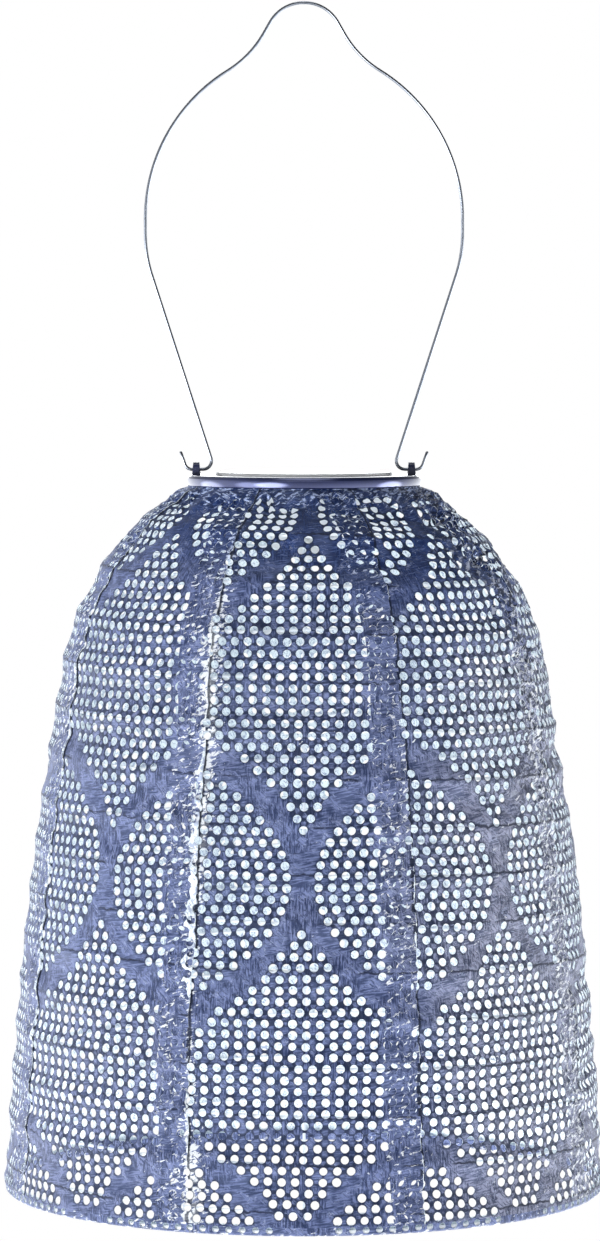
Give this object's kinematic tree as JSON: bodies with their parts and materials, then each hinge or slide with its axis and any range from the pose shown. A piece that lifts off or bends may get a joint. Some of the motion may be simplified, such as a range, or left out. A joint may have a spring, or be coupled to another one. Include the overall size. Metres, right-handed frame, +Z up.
{
  "type": "accordion lantern",
  "caption": "Bell-shaped perforated shade of navy paper-like fabric on a spiral wire, with a top ring, bent wire handle, solar light unit and an open rolled hem.",
  "frame": {"origin": "hanging point: the underside of the handle's apex", "axes": "+Z up along the lantern's axis, +X through the two ears and the handle's pivots, front towards -Y"},
  "size_m": [0.2594, 0.2594, 0.5134],
  "materials": {
    "handle_steel": "polished",
    "ring_paint": "gloss",
    "ear_paint": "satin",
    "zinc_steel": "satin",
    "shade_fabric": "printed outside, pale inside",
    "spring_wire": "white coating",
    "cap_plastic": "satin",
    "window_clear": "clear",
    "cell_glass": "coated",
    "seal_rubber": "matt",
    "board_green": "solder mask",
    "battery_wrap": "shrink wrap",
    "led_resin": "clear resin",
    "lens_frost": "frosted",
    "switch_black": "moulded"
  },
  "bodies": {
    "handle": {"handle_wire": "handle_steel"},
    "lantern_frame": {"top_ring": "ring_paint", "clamp_ring": "zinc_steel", "ear_right": "ear_paint", "ear_left": "ear_paint", "ear_rivets": "zinc_steel", "spiral_wire": "spring_wire", "expander_front": "spring_wire", "expander_back": "spring_wire", "gore_1": "shade_fabric", "gore_2": "shade_fabric", "gore_3": "shade_fabric", "gore_4": "shade_fabric", "gore_5": "shade_fabric", "gore_6": "shade_fabric", "gore_7": "shade_fabric", "gore_8": "shade_fabric"},
    "hem": {"hem_hoop": "spring_wire", "hem_binding": "shade_fabric"},
    "light_unit": {"cap_housing": "cap_plastic", "solar_window": "window_clear", "solar_cell": "cell_glass", "housing_seal": "seal_rubber", "base_housing": "cap_plastic", "housing_screws": "zinc_steel", "circuit_board": "board_green", "battery": "battery_wrap", "battery_contacts": "zinc_steel", "battery_door": "cap_plastic", "led": "led_resin", "light_lens": "lens_frost", "switch_body": "switch_black"},
    "slider": {"switch_slider": "switch_black"}
  },
  "joints": [
    {"name": "handle_swing", "type": "hinge", "parent": "handle", "child": "lantern_frame", "pos_m": [0, 0, -0.2], "axis": [1, 0, 0], "range_deg": [-90, 90]},
    {"name": "shade_fold", "type": "slide", "parent": "lantern_frame", "child": "hem", "axis": [0, 0, 1], "range_m": [0, 0.26], "deforming": ["gore_1", "gore_2", "gore_3", "gore_4", "gore_5", "gore_6", "gore_7", "gore_8", "spiral_wire", "expander_front", "expander_back"]},
    {"name": "cap_lift", "type": "slide", "parent": "lantern_frame", "child": "light_unit", "axis": [0, 0, 1], "range_m": [0, 0.06]},
    {"name": "power_switch", "type": "slide", "parent": "light_unit", "child": "slider", "axis": [1, 0, 0], "range_m": [0, 0.003]}
  ]
}
